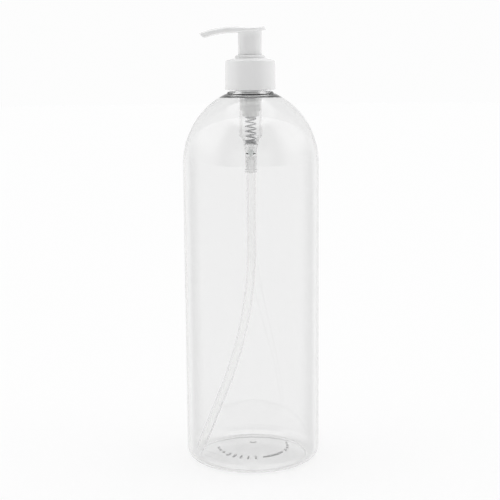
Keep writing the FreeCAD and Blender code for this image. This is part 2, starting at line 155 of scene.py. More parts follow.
class StageSizes(bpy.types.PropertyGroup):
    """The camera, the floor and the lights."""

    distance: length("Distance", "From the bottle's axis to the camera", 0.6819)
    camera_height: length("Camera height", "Height of the camera", 0.2370)
    camera_aside: FloatProperty(name="Camera aside", description="Camera's offset to the right",
                                default=-0.0010, unit="LENGTH", precision=5)
    tilt: FloatProperty(name="Tilt", description="How far the camera looks down", default=0.15611,
                        unit="ROTATION")
    roll: FloatProperty(name="Roll", description="Turn of the camera about its own axis",
                        default=math.radians(-0.475), unit="ROTATION")
    lens: FloatProperty(name="Lens", description="Focal length in millimetres", default=81.2, min=1)
    floor_radius: length("Floor radius", "Radius of the floor", 8.0)
    floor_colour: colour("Floor colour", "Surface of the table", (0.3, 0.3, 0.3))
    floor_glow: share("Floor glow", "Light from under the table", 0.660)
    backdrop: share("Backdrop", "Brightness of the plain backdrop", 0.98)
    overhead: strength("Overhead", "Strength of the light overhead", 1.8)
    backdrop_light: strength("Backdrop light", "Strength low behind the bottle", 0.92)
    front_light: strength("Front light", "Strength low in front of the bottle", 0.55)
    sides: strength("Sides", "Strength of the light high at both sides", 1.4)
    low_sides: strength("Low sides", "Strength low at both sides", 0.95)
    front: strength("Front", "Strength high in front", 0.12)
    back: strength("Back", "Strength high behind", 0.85)
    flags: strength("Flags", "Strength between the sides and the front", 0.2)
    back_flags: strength("Back flags", "Strength between the sides and the back", 0.95)


# ---------------------------------------------------------------------------------------- mesh helpers


class Outline:
    """A wire in the XZ plane, drawn from point to point, that is then turned about Z."""

    def __init__(self, radius, height):
        self.mesh = bmesh.new()
        self.first = self.mesh.verts.new((radius, 0, height))
        self.last = self.first

    def line(self, radius, height):
        """Draw straight to a point."""
        made = bmesh.ops.extrude_vert_indiv(self.mesh, verts=[self.last])
        self.last = made["verts"][0]
        self.last.co = (radius, 0, height)
        return self

    def arc(self, radius, height, centre, steps):
        """Draw round a centre to a point, the short way."""
        middle = Vector((centre[0], 0, centre[1]))
        start = self.last.co - middle
        end = Vector((radius, 0, height)) - middle
        angle = math.atan2(end.z, end.x) - math.atan2(start.z, start.x)
        angle = (angle + math.pi) % FULL_TURN - math.pi
        made = bmesh.ops.spin(self.mesh, geom=[self.last], cent=middle, axis=(0, -1, 0), angle=angle,
                              steps=steps)
        self.last = [item for item in made["geom_last"] if isinstance(item, bmesh.types.BMVert)][0]
        return self

    def turn(self, segments, closed=True):
        """Close the wire and turn it all the way round; a wire that ends on the axis needs no closing."""
        if closed:
            self.mesh.edges.new((self.last, self.first))
        wire = self.mesh.verts[:] + self.mesh.edges[:]
        bmesh.ops.spin(self.mesh, geom=wire, cent=(0, 0, 0), axis=UP, angle=FULL_TURN, steps=segments,
                       use_merge=True)
        clean(self.mesh)
        return self.mesh


def clean(mesh):
    """Merge doubles and point the faces outwards."""
    bmesh.ops.remove_doubles(mesh, verts=mesh.verts, dist=1e-7)
    bmesh.ops.dissolve_degenerate(mesh, edges=mesh.edges, dist=1e-8)
    bmesh.ops.recalc_face_normals(mesh, faces=mesh.faces)


def soften(mesh, offset, least_angle=0.5, segments=2):
    """Round every edge that turns by more than least_angle."""
    edges = [edge for edge in mesh.edges if edge.is_manifold and edge.calc_face_angle() > least_angle]
    bmesh.ops.bevel(mesh, geom=edges, offset=offset, offset_type="OFFSET", segments=segments, profile=0.5,
                    affect="EDGES", material=-1, clamp_overlap=True)


def arc_centre(start, end, radius, side):
    """Centre of the arc of that radius from start to end; side is +1 where it turns left."""
    middle = ((start[0] + end[0]) / 2, (start[1] + end[1]) / 2)
    chord = (end[0] - start[0], end[1] - start[1])
    span = math.hypot(*chord)
    rise = side * math.sqrt(radius ** 2 - span ** 2 / 4) / span
    return middle[0] - chord[1] * rise, middle[1] + chord[0] * rise


def add_to(mesh, other):
    """Add another mesh's geometry and free it."""
    data = bpy.data.meshes.new("part")
    other.to_mesh(data)
    other.free()
    mesh.from_mesh(data)
    bpy.data.meshes.remove(data)


def finish_piece(name, mesh, body, node, material, weighted=True):
    """Turn a mesh into a named piece that rides on its body and stands for its node."""
    for face in mesh.faces:
        face.smooth = True
    for edge in mesh.edges:
        edge.smooth = not edge.is_manifold or edge.calc_face_angle() < 0.7
    data = bpy.data.meshes.new(name)
    mesh.to_mesh(data)
    mesh.free()
    piece = bpy.data.objects.new(name, data)
    bpy.context.scene.collection.objects.link(piece)
    data.materials.append(material)
    if weighted:
        modifier = piece.modifiers.new("Even shading", "WEIGHTED_NORMAL")
        modifier.keep_sharp = True
    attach(piece, body)
    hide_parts(node)
    return piece


# -------------------------------------------------------------------------------------- shader helpers


class Value:
    """A shader number with Python's arithmetic."""

    def __init__(self, shader, socket):
        self.shader = shader
        self.socket = socket

    def math(self, operation, first, second=0.5):
        node = self.shader.node("ShaderNodeMath", {"operation": operation}, {0: first, 1: second})
        return Value(self.shader, node.outputs[0])

    def __add__(self, other):
        return self.math("ADD", self, other)

    def __sub__(self, other):
        return self.math("SUBTRACT", self, other)

    def __rsub__(self, other):
        return self.math("SUBTRACT", other, self)

    def __mul__(self, other):
        return self.math("MULTIPLY", self, other)

    def __truediv__(self, other):
        return self.math("DIVIDE", self, other)

    def __pow__(self, other):
        return self.math("POWER", self, other)

    def size(self):
        return self.math("ABSOLUTE", self)

    def blend(self, first, second):
        """The first number where this is 0 and the second where it is 1."""
        return self * (second - first) + first

    def smooth_step(self, start, end):
        """0 up to start and 1 past end, with a soft change between them."""
        node = self.shader.node("ShaderNodeMapRange", {"interpolation_type": "SMOOTHSTEP"},
                                {"Value": self, "From Min": start, "From Max": end})
        return Value(self.shader, node.outputs["Result"])


class Shader:
    """Writes the nodes of one material or world."""

    def __init__(self, owner):
        self.owner = owner
        owner.use_nodes = True
        self.tree = owner.node_tree
        self.tree.nodes.clear()

    def node(self, kind, settings=None, inputs=None):
        """Add a node: its settings first, then the values or links of its sockets."""
        node = self.tree.nodes.new(kind)
        for key, value in (settings or {}).items():
            setattr(node, key, value)
        for key, value in (inputs or {}).items():
            socket = node.inputs[key]
            if isinstance(value, Value):
                self.tree.links.new(value.socket, socket)
            elif isinstance(value, bpy.types.NodeSocket):
                self.tree.links.new(value, socket)
            else:
                socket.default_value = value
        return node

    def value(self, kind, output, settings=None, inputs=None):
        """Add a node and take one of its outputs as a number."""
        return Value(self, self.node(kind, settings, inputs).outputs[output])

    def object_place(self, stretch=(1, 1, 1)):
        """Object coordinates, stretched."""
        place = self.node("ShaderNodeTexCoord").outputs["Object"]
        return self.node("ShaderNodeMapping", inputs={"Vector": place, "Scale": stretch}).outputs["Vector"]

    def noise(self, scale, detail=2.0, stretch=(1, 1, 1)):
        """A cloud of values round 0.5."""
        return self.value("ShaderNodeTexNoise", "Fac", inputs={
            "Vector": self.object_place(stretch), "Scale": scale, "Detail": detail})

    def mix_colour(self, factor, first, second):
        """Blend two colours."""
        node = self.node("ShaderNodeMix", {"data_type": "RGBA"},
                         {"Factor": factor, 6: opaque(first), 7: opaque(second)})
        return node.outputs[2]

    def bump(self, height, depth):
        """A surface that rises by depth, in metres, where height is 1."""
        return self.node("ShaderNodeBump", inputs={"Strength": 1.0, "Distance": depth, "Height": height}
                         ).outputs["Normal"]

    def show(self, surface, kind="ShaderNodeOutputMaterial"):
        """Give the surface to the output."""
        self.node(kind, inputs={"Surface": surface})
        return self.owner


def opaque(rgb):
    """A colour with full alpha; a socket stays as it is."""
    return rgb if isinstance(rgb, bpy.types.NodeSocket) else (*rgb[:3], 1.0)


def scaled(rgb, factor):
    return tuple(part * factor for part in rgb)


# ------------------------------------------------------------------------------------------- materials


def moulded_plastic(name, rgb, roughness, grain=0.00001):
    """Opaque moulded plastic: faint clouding, flow streaks up the piece and a fine satin grain."""
    shader = Shader(bpy.data.materials.new(name))
    clouds = shader.noise(90, 3)
    streaks = shader.noise(260, 2, (1, 1, 0.12))
    base = shader.mix_colour(clouds * 0.6 + streaks * 0.4, scaled(rgb, 0.96), scaled(rgb, 1.03))
    fine = shader.noise(5200, 1)
    waves = shader.noise(420, 1)
    surface = shader.node("ShaderNodeBsdfPrincipled", inputs={
        "Base Color": base,
        "Roughness": clouds * 0.12 + (roughness - 0.06),
        "IOR": 1.49,
        "Normal": shader.bump(fine * 0.25 + waves, grain),
    })
    return shader.show(surface.outputs[0])


def clear_plastic(name, tint, roughness, waves, index, specular=0.5, rim=0.88, rim_top=1.0):
    """Clear plastic with faint ripples that bends and mirrors light, with painted shade that darkens its
    colour where it is seen aslant, up to a set height.

    Room light passes straight through to what is inside.
    """
    shader = Shader(bpy.data.materials.new(name))
    ripples = shader.noise(38, 2, (1, 1, 0.16)) + shader.noise(170, 1, (1, 1, 0.3)) * 0.18
    clouds = shader.noise(60, 2, (1, 1, 0.4))
    slant = shader.value("ShaderNodeLayerWeight", "Facing", inputs={"Blend": 0.5})
    height = shader.value("ShaderNodeSeparateXYZ", "Z", inputs={0: shader.object_place()})
    # Painted shade: the wall's colour is darkened where it is seen aslant, below a set height, standing in
    # for the dark edge lines that refraction and reflection give there.
    darker = slant.smooth_step(0.32, 0.55) * (1 - slant.smooth_step(0.58, 0.68)) * (
        1 - height.smooth_step(rim_top - 0.02, rim_top))
    glass = shader.node("ShaderNodeBsdfPrincipled", inputs={
        "Base Color": shader.mix_colour(darker * 0.95 + clouds * 0.05, tint, scaled(tint, rim)),
        "Roughness": clouds * 0.004 + roughness,
        "IOR": index,
        "Specular IOR Level": specular,
        "Transmission Weight": 1.0,
        "Normal": shader.bump(ripples, waves),
    }).outputs[0]
    passing = shader.node("ShaderNodeBsdfTransparent",
                          inputs={"Color": opaque(scaled(tint, 0.97))}).outputs[0]
    kinds = shader.node("ShaderNodeLightPath").outputs
    lit = shader.node("ShaderNodeMixShader", inputs={0: kinds["Is Shadow Ray"], 1: glass, 2: passing})
    surface = shader.node("ShaderNodeMixShader", inputs={
        0: kinds["Is Diffuse Ray"], 1: lit.outputs[0], 2: passing})
    return shader.show(surface.outputs[0])


def spring_steel(name, rgb):
    """Drawn wire: grey metal with die lines along it and faint darker patches."""
    shader = Shader(bpy.data.materials.new(name))
    lines = shader.noise(900, 2, (0.3, 0.3, 6))
    patches = shader.noise(240, 2)
    surface = shader.node("ShaderNodeBsdfPrincipled", inputs={
        "Base Color": shader.mix_colour(patches, scaled(rgb, 0.8), scaled(rgb, 1.2)),
        "Metallic": 1.0,
        "Roughness": lines * 0.2 + 0.22,
        "Normal": shader.bump(lines, 0.00001),
    })
    return shader.show(surface.outputs[0])


def valve_glass(name):
    """Solid polished glass with faint grinding marks."""
    shader = Shader(bpy.data.materials.new(name))
    marks = shader.noise(1800, 2)
    surface = shader.node("ShaderNodeBsdfPrincipled", inputs={
        "Base Color": (0.96, 0.96, 0.96, 1),
        "Roughness": marks * 0.05,
        "IOR": 1.52,
        "Transmission Weight": 1.0,
    })
    return shader.show(surface.outputs[0])


def frosted_plastic(name, tint):
    """Clear plastic with the dull, eroded finish that marks are given in a mould."""
    shader = Shader(bpy.data.materials.new(name))
    pits = shader.noise(2600, 2)
    surface = shader.node("ShaderNodeBsdfPrincipled", inputs={
        "Base Color": shader.mix_colour(pits, tint, scaled(tint, 0.85)),
        "Roughness": pits * 0.3 + 0.4,
        "IOR": 1.5,
        "Transmission Weight": 0.6,
        "Normal": shader.bump(pits, 0.00003),
    })
    return shader.show(surface.outputs[0])


def closed_cell_foam(name, rgb):
    """Gasket foam: tiny closed cells in a soft matt sheet."""
    shader = Shader(bpy.data.materials.new(name))
    cells = shader.value("ShaderNodeTexVoronoi", "Distance", inputs={
        "Vector": shader.object_place(), "Scale": 3500})
    surface = shader.node("ShaderNodeBsdfPrincipled", inputs={
        "Base Color": shader.mix_colour(cells, scaled(rgb, 0.9), rgb),
        "Roughness": cells * 0.2 + 0.7,
        "Normal": shader.bump(cells, 0.00003),
    })
    return shader.show(surface.outputs[0])


def floor_paint(name, rgb, glow):
    """Matt studio table that is lit a little from below, with a hardly visible mottle."""
    shader = Shader(bpy.data.materials.new(name))
    mottle = shader.noise(3, 2)
    surface = shader.node("ShaderNodeBsdfPrincipled", inputs={
        "Base Color": shader.mix_colour(mottle, scaled(rgb, 0.995), scaled(rgb, 1.005)),
        "Roughness": 0.9,
        "Specular IOR Level": 0.0,
        "Emission Color": (1, 1, 1, 1),
        "Emission Strength": glow,
    })
    return shader.show(surface.outputs[0])


def material(kind, name, *arguments, **settings):
    """A material made once and then shared.

    Known fault: the frame brings materials of its own called pump_white, inner_white, spring_steel and
    valve_glass. They are found here first, so for these four kind is never called and they stay flat.
    """
    return bpy.data.materials.get(name) or kind(name, *arguments, **settings)


def pump_white():
    finishes = bpy.context.scene.bottle_finishes
    return material(moulded_plastic, "pump_white", finishes.white, finishes.gloss)


def inner_white():
    finishes = bpy.context.scene.bottle_finishes
    return material(moulded_plastic, "inner_white", finishes.inner_white, 0.45)


def barrel_clear():
    finishes = bpy.context.scene.bottle_finishes
    return material(clear_plastic, "barrel_clear", finishes.barrel_tint, roughness=0.0, waves=0.000002,
                    index=1.49, specular=0.4, rim=0.8)


def tube_clear():
    finishes = bpy.context.scene.bottle_finishes
    return material(clear_plastic, "tube_clear", finishes.tube_tint, roughness=0.0, waves=0.000001,
                    index=1.45, specular=0.1, rim=0.75)


def bottle_clear():
    finishes = bpy.context.scene.bottle_finishes
    return material(clear_plastic, "bottle_clear", finishes.clear_tint, roughness=0.0, waves=0.000012,
                    index=1.5, rim_top=0.2)


# -------------------------------------------------------------------------------------------- the pieces


def wind(mesh, section, turns, rise, steps_per_turn=48):
    """Turn a section about Z while it rises; returns the last copy of the section."""
    steps = max(int(abs(turns) * steps_per_turn), 2)
    made = bmesh.ops.spin(mesh, geom=section, cent=(0, 0, 0), axis=UP, dvec=(0, 0, rise / steps),
                          angle=turns * FULL_TURN, steps=steps)
    return made["geom_last"]


def ridge(root, crest, start, turns, pitch, root_width=0.0020, crest_width=0.0010):
    """A helical thread ridge that fades out at both ends."""
    mesh = bmesh.new()
    corners = ((root, -root_width), (crest, -crest_width), (crest, crest_width), (root, root_width))
    section = [mesh.verts.new((radius, 0, start + width / 2)) for radius, width in corners]
    mesh.faces.new(section)
    wind(mesh, section + mesh.edges[:] + mesh.faces[:], turns, turns * pitch)
    fade = 0.12
    for vert in mesh.verts:
        reach = vert.co.to_2d().length
        turn = (vert.co.z - start) / pitch
        end = min(max(turn, 0), max(turns - turn, 0))
        if end < fade and abs(reach - root) > 1e-5:
            vert.co.xy *= (root + (reach - root) * (0.15 + 0.85 * end / fade)) / reach
    clean(mesh)
    return mesh


def bottle_shell(sizes):
    """The blown wall, outside and inside, from the gate under the base to the gate again."""
    radius = high("bottle").x
    top = high("bottle").z
    wall = sizes.wall
    ring_outer = radius - sizes.heel_radius
    ring_inner = ring_outer - sizes.ring_width
    step = ring_inner - sizes.step
    gate = sizes.push_up - sizes.gate_depth
    dome_radius = ((step - sizes.gate_radius) ** 2 + (sizes.push_up - sizes.step) ** 2) / (
        2 * (sizes.push_up - sizes.step))
    dome = arc_centre((sizes.gate_radius, sizes.push_up), (step, sizes.step), dome_radius, -1)
    shoulder_radius = 0.0469
    shoulder = arc_centre((radius, sizes.shoulder_start), (sizes.shoulder_end_radius, sizes.shoulder_end),
                          shoulder_radius, 1)
    line = Outline(0, gate)
    line.line(sizes.gate_radius, gate)
    line.line(sizes.gate_radius, sizes.push_up)
    line.arc(step, sizes.step, dome, 20)
    line.line(ring_inner, 0)
    line.line(ring_outer, 0)
    line.arc(radius, sizes.heel_radius, (ring_outer, sizes.heel_radius), 14)
    line.line(radius, sizes.shoulder_start)
    line.arc(sizes.shoulder_end_radius, sizes.shoulder_end, shoulder, 48)
    line.line(sizes.bead_radius, sizes.shoulder_end)
    line.line(sizes.bead_radius, sizes.bead_top - wall)
    line.line(sizes.bead_radius - wall, sizes.bead_top)
    line.line(sizes.neck_radius, sizes.bead_top)
    line.line(sizes.neck_radius, top)
    line.line(sizes.neck_bore, top)
    line.line(sizes.neck_bore, sizes.shoulder_end - 0.0006)
    neck_foot = (sizes.neck_bore + 0.0004, sizes.shoulder_end - 0.0010)
    line.line(*neck_foot)
    thick_from = math.radians(59.0)
    reach = shoulder_radius - wall
    joint = (shoulder[0] + reach * math.cos(thick_from), shoulder[1] + reach * math.sin(thick_from))
    line.arc(*joint, arc_centre(neck_foot, joint, 0.032, -1), 14)
    line.arc(radius - wall, sizes.shoulder_start, shoulder, 40)
    line.line(radius - wall, sizes.heel_radius)
    line.arc(ring_outer, wall, (ring_outer, sizes.heel_radius), 14)
    line.line(ring_inner + wall / 2, wall)
    line.line(step + wall / 2, sizes.step + wall)
    line.arc(sizes.gate_radius, sizes.push_up + wall, dome, 20)
    line.line(0, sizes.push_up + wall)
    mesh = line.turn(sizes.segments, closed=False)
    soften(mesh, 0.00025, 0.45, 3)
    return mesh


class BUILD_OT_bottle(bpy.types.Operator):
    """Build the clear bottle with its neck thread"""

    bl_idname = "pump_bottle.bottle"
    bl_label = "Bottle"

    def execute(self, context):
        sizes = context.scene.bottle_sizes
        mesh = bottle_shell(sizes)
        add_to(mesh, ridge(sizes.neck_radius - 0.0003, 0.0136, sizes.thread_start, 1.5, sizes.pitch))
        finish_piece("clear_bottle", mesh, "bottle", "bottle", bottle_clear())
        return {"FINISHED"}


class BUILD_OT_marks(bpy.types.Operator):
    """Build the plain pips, bars and rib moulded under the base"""

    bl_idname = "pump_bottle.marks"
    bl_label = "Base marks"
    pips = (188, 200, 212, 338, 350, 2, 14)
    bars = (226, 238, 250, 262, 274)
    depth = 0.0010
    height = 0.00455

    def execute(self, context):
        ring = context.scene.bottle_sizes.mark_radius
        mesh = bmesh.new()
        for degrees in self.pips:
            self.pip(mesh, self.at(ring, degrees))
        for degrees in self.bars:
            place = self.at(ring, degrees) @ Matrix.Diagonal((0.0034, 0.0010, self.depth, 1))
            bmesh.ops.create_cube(mesh, size=1, matrix=place)
        self.rib(mesh, ring)
        soften(mesh, 0.00018, 0.6, 2)
        clean(mesh)
        finish_piece("moulded_marks", mesh, "bottle", "bottle",
                     material(frosted_plastic, "frosted_clear", context.scene.bottle_finishes.frosted),
                     weighted=False)
        return {"FINISHED"}

    def at(self, radius, degrees):
        """A place on the ring of marks, turned to face the centre."""
        return Matrix.Rotation(math.radians(degrees), 4, "Z") @ Matrix.Translation((radius, 0, self.height))

    def pip(self, mesh, place):
        bmesh.ops.create_cone(mesh, cap_ends=True, segments=24, radius1=0.00075, radius2=0.00085,
                              depth=self.depth, matrix=place)

    def rib(self, mesh, ring):
        """A short curved rib, thick in the middle and thin at its ends."""
        start = math.radians(286)
        angle = math.radians(42)
        steps = 28
        place = Matrix.Translation((ring, 0, self.height)) @ Matrix.Rotation(math.pi / 2, 4, "X")
        made = bmesh.ops.create_circle(mesh, segments=12, radius=self.depth / 2, matrix=place)
        bmesh.ops.rotate(mesh, verts=made["verts"], cent=(0, 0, 0), matrix=Matrix.Rotation(start, 3, "Z"))
        edges = [edge for edge in mesh.edges if all(vert in made["verts"] for vert in edge.verts)]
        old = set(mesh.verts) - set(made["verts"])
        bmesh.ops.spin(mesh, geom=made["verts"] + edges, cent=(0, 0, 0), axis=UP, angle=angle, steps=steps)
        for vert in set(mesh.verts) - old:
            reach = vert.co.to_2d().length
            turn = (math.atan2(vert.co.y, vert.co.x) - start) % FULL_TURN
            swell = 0.35 + 2.0 * math.sin(math.pi * min(turn / angle, 1)) ** 0.8
            vert.co.xy *= (ring + (reach - ring) * swell) / reach
        bmesh.ops.holes_fill(mesh, edges=[edge for edge in mesh.edges if edge.is_boundary], sides=0)


class BUILD_OT_closure(bpy.types.Operator):
    """Build the smooth screw closure"""

    bl_idname = "pump_bottle.closure"
    bl_label = "Closure"

    def execute(self, context):
        sizes = context.scene.pump_sizes
        bottle = context.scene.bottle_sizes
        bottom = low("closure").z
        foot = high("closure").x
        shoulder = (foot - sizes.closure_flare, 0.2432)
        edge = (0.0141, 0.2442)
        top = high("closure").z
        bore = foot - sizes.closure_wall
        hole = high("locking_collar").x + 0.0003
        ceiling = high("neck_gasket").z + 0.00115
        line = Outline(bore, bottom)
        line.line(foot, bottom)
        line.line(*shoulder)
        line.arc(*edge, arc_centre(shoulder, edge, 0.001, 1), 6)
        line.line(hole, top)
        line.line(hole, ceiling)
        line.line(bore, ceiling)
        mesh = line.turn(sizes.segments * 2)
        soften(mesh, 0.0005, 0.4, 4)
        add_to(mesh, ridge(bore + 0.0003, 0.01295, bottle.thread_start - bottle.pitch / 2, 1.25,
                           bottle.pitch))
        finish_piece("screw_closure", mesh, "closure", "closure", pump_white())
        return {"FINISHED"}


class BUILD_OT_collar(bpy.types.Operator):
    """Build the locking collar: ring, sleeve and stem guide"""

    bl_idname = "pump_bottle.collar"
    bl_label = "Locking collar"

    def execute(self, context):
        sizes = context.scene.pump_sizes
        bottom = low("locking_collar").z
        top = high("locking_collar").z
        outer = high("locking_collar").x
        guide_bore = 0.0039
        guide_radius = 0.00625
        guide_top = 0.2278
        sleeve_radius = 0.00855
        sleeve_bottom = 0.22665
        ring_bottom = 0.24205
        rounding = 0.0014
        line = Outline(guide_bore, bottom)
        line.line(guide_radius, bottom)
        line.line(guide_radius, sleeve_bottom)
        line.line(sleeve_radius, sleeve_bottom)
        line.line(sleeve_radius, ring_bottom)
        line.line(outer, ring_bottom)
        line.line(outer, top - rounding)
        line.arc(outer - rounding, top, (outer - rounding, top - rounding), 8)
        line.line(sizes.collar_bore, top)
        line.line(sizes.collar_bore, guide_top)
        line.line(guide_bore, guide_top)
        mesh = line.turn(sizes.segments)
        soften(mesh, 0.0003, 0.4, 3)
        finish_piece("collar_ring", mesh, "pump_unit", "locking_collar", pump_white())
        return {"FINISHED"}


class BUILD_OT_barrel(bpy.types.Operator):
    """Build the clear pump barrel with its ball cage and tube socket"""

    bl_idname = "pump_bottle.barrel"
    bl_label = "Barrel"

    def execute(self, context):
        sizes = context.scene.pump_sizes
        flange_top = high("pump_chamber").z
        flange_bottom = high("neck_gasket").z
        foot = low("pump_chamber").z
        tube = 0.00272
        line = Outline(tube, foot)
        for radius, height in ((0.00375, foot), (0.00375, 0.1791), (0.00345, 0.1791), (0.00345, 0.1904),
                               (0.0049, 0.1968), (0.00685, 0.1994), (0.00685, 0.2256), (0.0096, 0.2256),
                               (0.0096, flange_bottom), (0.0132, flange_bottom), (0.0132, flange_top),
                               (0.0086, flange_top), (0.0086, 0.2266), (0.0063, 0.2266), (0.0063, 0.1996),
                               (0.0042, 0.1968), (0.00385, 0.1942), (0.0020, 0.1942), (0.0020, 0.1923),
                               (0.00255, 0.1923), (0.00255, 0.1891), (0.0017, 0.1880), (0.0017, 0.1869),
                               (tube, 0.1869)):
            line.line(radius, height)
        mesh = line.turn(sizes.segments)
        soften(mesh, 0.0002, 0.4, 2)
        finish_piece("pump_barrel", mesh, "pump_unit", "pump_chamber", barrel_clear())
        return {"FINISHED"}


class BUILD_OT_tube(bpy.types.Operator):
    """Build the dip tube: straight, one gentle bend, straight again"""

    bl_idname = "pump_bottle.tube"
    bl_label = "Dip tube"

    def execute(self, context):
        outer = 0.0027
        wall = 0.00075
        top = high("dip_tube").z
        bend_start = 0.134
        bend_radius = 0.247
        angle = math.radians(22)
        foot = 0.0040
        mesh = bmesh.new()
        ring = bmesh.ops.create_circle(mesh, segments=48, radius=outer,
                                       matrix=Matrix.Translation((0, 0, top)))
        section = ring["verts"] + mesh.edges[:]
        section = self.straight(mesh, section, Vector((0, 0, bend_start - top)), 12)
        section = bmesh.ops.spin(mesh, geom=section, cent=(-bend_radius, 0, bend_start), axis=(0, 1, 0),
                                 angle=angle, steps=28)["geom_last"]
        fall = bend_start - bend_radius * math.sin(angle) - foot
        run = Vector((-math.tan(angle) * fall, 0, -fall))
        self.straight(mesh, section, run, 8)
        clean(mesh)
        bmesh.ops.solidify(mesh, geom=mesh.faces[:], thickness=wall)
        bmesh.ops.recalc_face_normals(mesh, faces=mesh.faces)
        finish_piece("suction_tube", mesh, "pump_unit", "dip_tube", tube_clear())
        return {"FINISHED"}

    def straight(self, mesh, section, run, steps):
        """Draw the section along a straight run."""
        made = bmesh.ops.spin(mesh, geom=section, cent=(0, 0, 0), axis=UP, dvec=run / steps, angle=0,
                              steps=steps)
        return made["geom_last"]


class BUILD_OT_valve_ball(bpy.types.Operator):
    """Build the glass ball of the foot valve"""

    bl_idname = "pump_bottle.valve_ball"
    bl_label = "Valve ball"

    def execute(self, context):
        bottom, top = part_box("inlet_ball")
        mesh = bmesh.new()
        bmesh.ops.create_icosphere(mesh, subdivisions=4, radius=(top.z - bottom.z) / 2,
                                   matrix=Matrix.Translation((bottom + top) / 2))
        finish_piece("foot_valve_ball", mesh, "inlet_ball", "inlet_ball",
                     material(valve_glass, "valve_glass"), weighted=False)
        return {"FINISHED"}


class BUILD_OT_spring(bpy.types.Operator):
    """Build the return spring with closed end turns"""

    bl_idname = "pump_bottle.spring"
    bl_label = "Return spring"

    def execute(self, context):
        finishes = context.scene.bottle_finishes
        wire = context.scene.pump_sizes.spring_wire
        bottom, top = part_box("return_spring")
        middle = top.x - wire / 2
        foot_turns = 2.5
        open_turns = 4.75
        head_turns = 0.75
        lay = wire * 1.06
        open_rise = top.z - bottom.z - wire - lay * (foot_turns + head_turns)
        mesh = bmesh.new()
        place = Matrix.Translation((middle, 0, bottom.z + wire / 2)) @ Matrix.Rotation(math.pi / 2, 4, "X")
        bmesh.ops.create_circle(mesh, segments=16, radius=wire / 2, cap_ends=False, matrix=place)
        section = mesh.verts[:] + mesh.edges[:]
        for turns, rise in ((foot_turns, lay * foot_turns), (open_turns, open_rise),
                            (head_turns, lay * head_turns)):
            section = wind(mesh, section, turns, rise)
        bmesh.ops.holes_fill(mesh, edges=[edge for edge in mesh.edges if edge.is_boundary], sides=0)
        clean(mesh)
        piece = finish_piece("coil_spring", mesh, "pump_unit", "return_spring",
                             material(spring_steel, "spring_steel", finishes.steel),
                             weighted=False)
        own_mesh(piece)
        return {"FINISHED"}


class BUILD_OT_plunger(bpy.types.Operator):
    """Build the piston and its seat, and give the stem and gasket their finish"""

    bl_idname = "pump_bottle.plunger"
    bl_label = "Plunger"

    def execute(self, context):
        finishes = context.scene.bottle_finishes
        segments = context.scene.pump_sizes.segments
        self.piston(segments)
        self.seat(segments)
        for node, finish in (("stem", inner_white()),
                             ("neck_gasket", material(closed_cell_foam, "gasket_foam", finishes.foam))):
            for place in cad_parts[node].material_slots:
                place.material = finish
        return {"FINISHED"}

    def piston(self, segments):
        bottom = low("piston").z
        top = high("piston").z
        line = Outline(0.0044, bottom)
        for radius, height in ((0.00625, bottom), (0.00625, bottom + 0.0026), (0.0060, bottom + 0.0029),
                               (0.0060, top - 0.0029), (0.00625, top - 0.0026), (0.00625, top),
                               (0.00365, top), (0.00365, 0.2194), (0.0044, 0.2194)):
            line.line(radius, height)
        mesh = line.turn(segments)
        soften(mesh, 0.00015, 0.4, 2)
        finish_piece("wiper_piston", mesh, "piston", "piston", inner_white())

    def seat(self, segments):
        bottom = low("piston_seat").z
        top = high("piston_seat").z
        line = Outline(0, bottom)
        for radius, height in ((0.0024, bottom), (0.0024, 0.2110), (0.00498, 0.2110), (0.00498, 0.2143),
                               (0.00228, 0.2143), (0.00228, top), (0, top)):
            line.line(radius, height)
        mesh = line.turn(segments, closed=False)
        soften(mesh, 0.0002, 0.4, 3)
        finish_piece("piston_plug", mesh, "plunger", "piston_seat", inner_white())


TIP_TOP = (-0.0303, 0.2602)
TIP_BOTTOM = (-0.0275, 0.2574)
CREST_FRONT = (-0.0130, 0.2640)
CREST_BACK = (-0.0065, 0.2639)
BACK_TOP = (0.0086, 0.2641)
BACK_BOTTOM = (0.0094, 0.2618)
ARCH_END = (-0.0080, 0.2604)


def on_arc(x, start, end, radius, side):
    """Height at x on the arc from start to end; side is +1 where its centre lies below."""
    if start[0] > end[0]:
        start, end = end, start
    centre = arc_centre(start, end, radius, -side)
    return centre[1] + side * math.sqrt(radius ** 2 - (x - centre[0]) ** 2)


def plate_top(x):
    """Height of the head's top at x: the spout's rise, the crest and the finger dish."""
    if x < CREST_FRONT[0]:
        return on_arc(x, TIP_TOP, CREST_FRONT, 0.054, 1)
    if x < CREST_BACK[0]:
        return on_arc(x, CREST_FRONT, CREST_BACK, 0.020, 1)
    return on_arc(x, CREST_BACK, BACK_TOP, 0.0465, -1)


def plate_bottom(x):
    """Height of the head's underside at x: an arch under the spout, then a straight rise."""
    if x < ARCH_END[0]:
        return on_arc(x, TIP_BOTTOM, ARCH_END, 0.062, 1)
    share = (x - ARCH_END[0]) / (BACK_BOTTOM[0] - ARCH_END[0])
    return ARCH_END[1] + share * (BACK_BOTTOM[1] - ARCH_END[1])


def plate_half_width(x, sizes):
    """Half the head's width at x: round about the stem, then narrowing straight to the tip."""
    tangent = 0.0025
    if x > -tangent:
        return math.sqrt(sizes.pad_radius ** 2 - x ** 2)
    root = math.sqrt(sizes.pad_radius ** 2 - tangent ** 2)
    along = (-x - tangent) / (-TIP_TOP[0] - tangent)
    return root + (sizes.tip_half_width - root) * along


